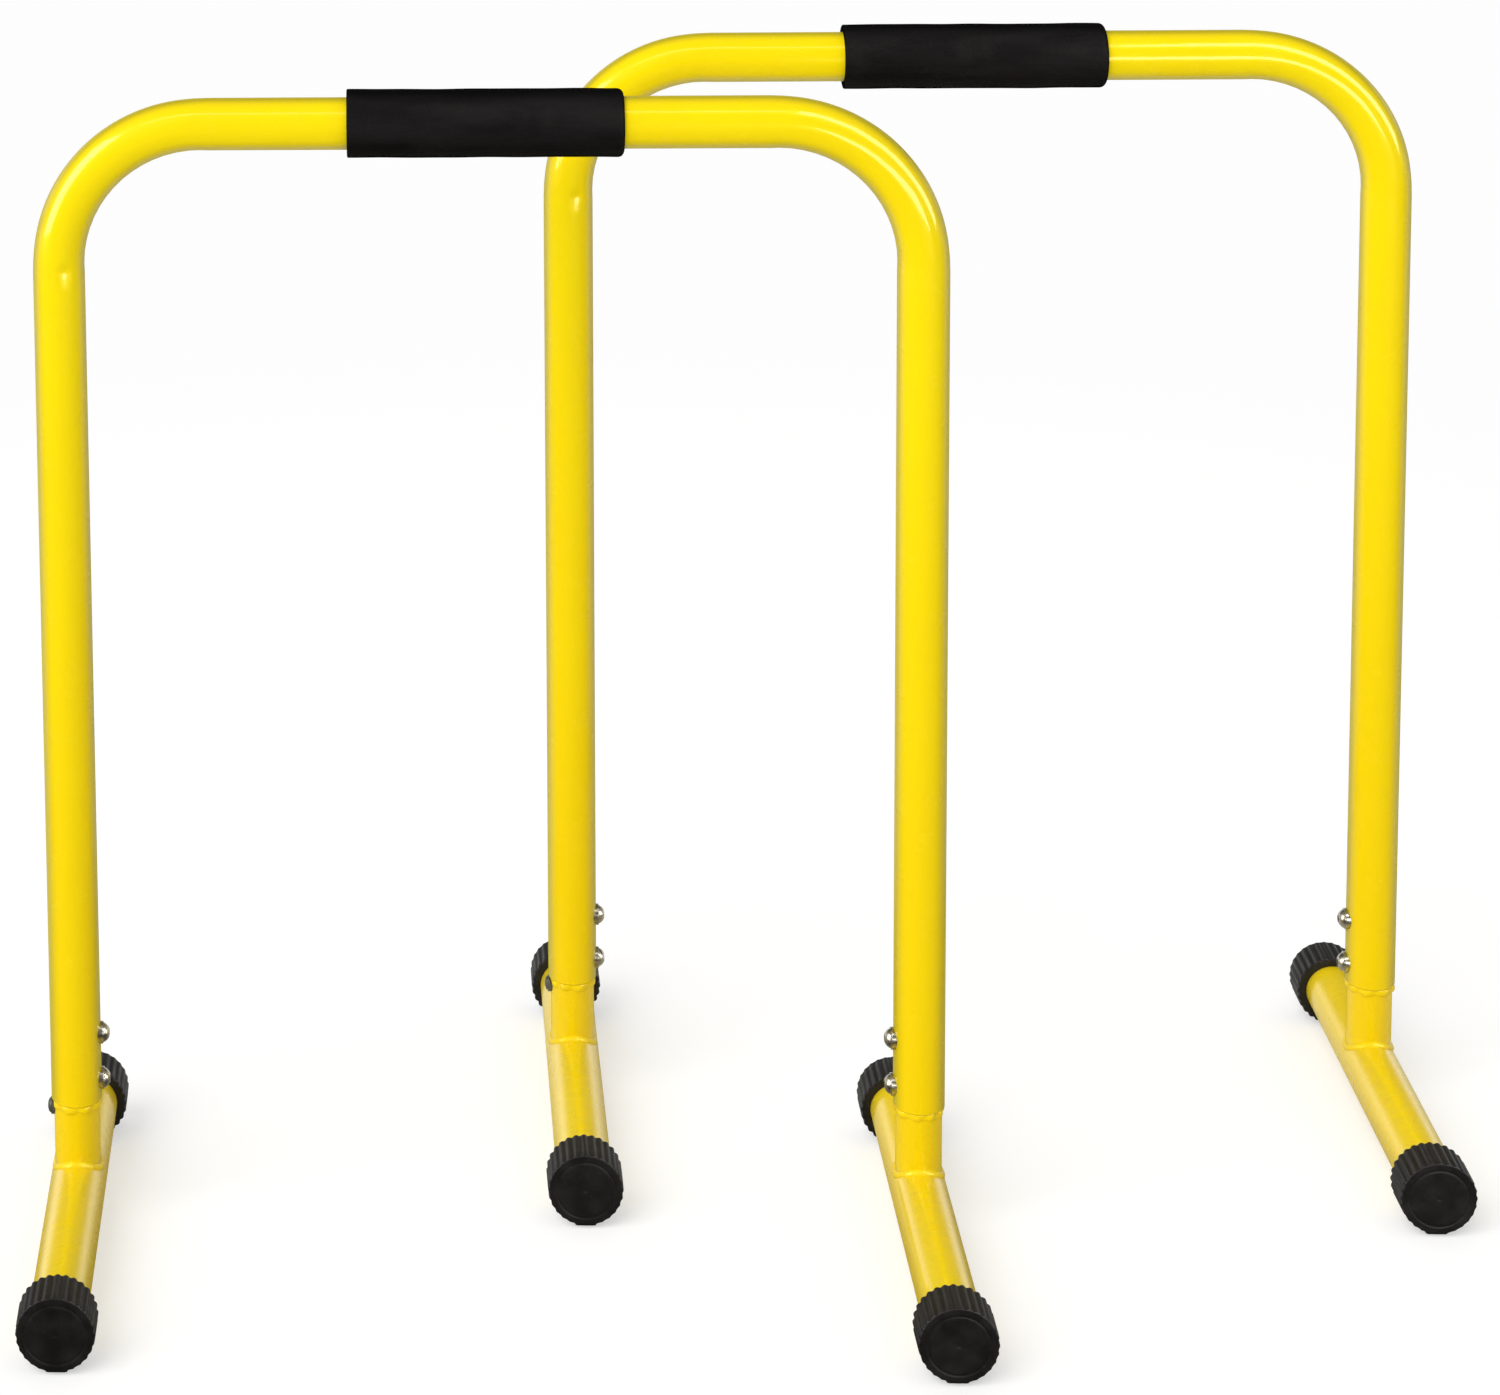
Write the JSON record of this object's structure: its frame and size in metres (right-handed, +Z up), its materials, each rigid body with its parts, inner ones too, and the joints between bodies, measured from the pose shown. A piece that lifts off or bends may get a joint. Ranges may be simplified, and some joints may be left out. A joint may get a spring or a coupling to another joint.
{
  "type": "parallel dip bars",
  "caption": "Pair of identical free-standing parallel bars: bent steel tube frames with foam grips on foot tubes with ribbed rubber caps.",
  "frame": {"origin": "on the floor, under the centre of the pair's bounding box", "axes": "+X along the bars to the right, +Y from the front bar to the rear bar, +Z up"},
  "size_m": [1.069, 0.572, 0.8721],
  "materials": {
    "yellow_coat": "gloss yellow powder coat on steel tube",
    "yellow_coat_foot": "semi-gloss yellow powder coat on steel tube",
    "grip_foam": "matte black closed-cell foam with fine lengthwise texture",
    "cap_rubber": "satin black moulded rubber, ribbed",
    "zinc_plate": "bright zinc plate",
    "dark_stud": "dark grey moulded plastic"
  },
  "bodies": {
    "front_bar": {"front_handle_frame": "yellow_coat", "front_grip_sleeve": "grip_foam", "front_left_locating_stud": "dark_stud", "front_left_foot_tube": "yellow_coat_foot", "front_left_spigot": "yellow_coat_foot", "front_left_foot_weld": "yellow_coat_foot", "front_left_stop_ring": "yellow_coat_foot", "front_left_toe_cap": "cap_rubber", "front_left_heel_cap": "cap_rubber", "front_left_leg_bolts": "zinc_plate", "front_left_saddle_washers": "zinc_plate", "front_left_threaded_inserts": "zinc_plate", "front_right_foot_tube": "yellow_coat_foot", "front_right_spigot": "yellow_coat_foot", "front_right_foot_weld": "yellow_coat_foot", "front_right_stop_ring": "yellow_coat_foot", "front_right_toe_cap": "cap_rubber", "front_right_heel_cap": "cap_rubber", "front_right_leg_bolts": "zinc_plate", "front_right_saddle_washers": "zinc_plate", "front_right_threaded_inserts": "zinc_plate"},
    "rear_bar": {"rear_handle_frame": "yellow_coat", "rear_grip_sleeve": "grip_foam", "rear_left_locating_stud": "dark_stud", "rear_left_foot_tube": "yellow_coat_foot", "rear_left_spigot": "yellow_coat_foot", "rear_left_foot_weld": "yellow_coat_foot", "rear_left_stop_ring": "yellow_coat_foot", "rear_left_toe_cap": "cap_rubber", "rear_left_heel_cap": "cap_rubber", "rear_left_leg_bolts": "zinc_plate", "rear_left_saddle_washers": "zinc_plate", "rear_left_threaded_inserts": "zinc_plate", "rear_right_foot_tube": "yellow_coat_foot", "rear_right_spigot": "yellow_coat_foot", "rear_right_foot_weld": "yellow_coat_foot", "rear_right_stop_ring": "yellow_coat_foot", "rear_right_toe_cap": "cap_rubber", "rear_right_heel_cap": "cap_rubber", "rear_right_leg_bolts": "zinc_plate", "rear_right_saddle_washers": "zinc_plate", "rear_right_threaded_inserts": "zinc_plate"}
  },
  "joints": [
    {"name": "bar_spacing", "type": "slide", "parent": "front_bar", "child": "rear_bar", "axis": [0, 1, 0], "range_m": [-0.14, 0.4]}
  ]
}
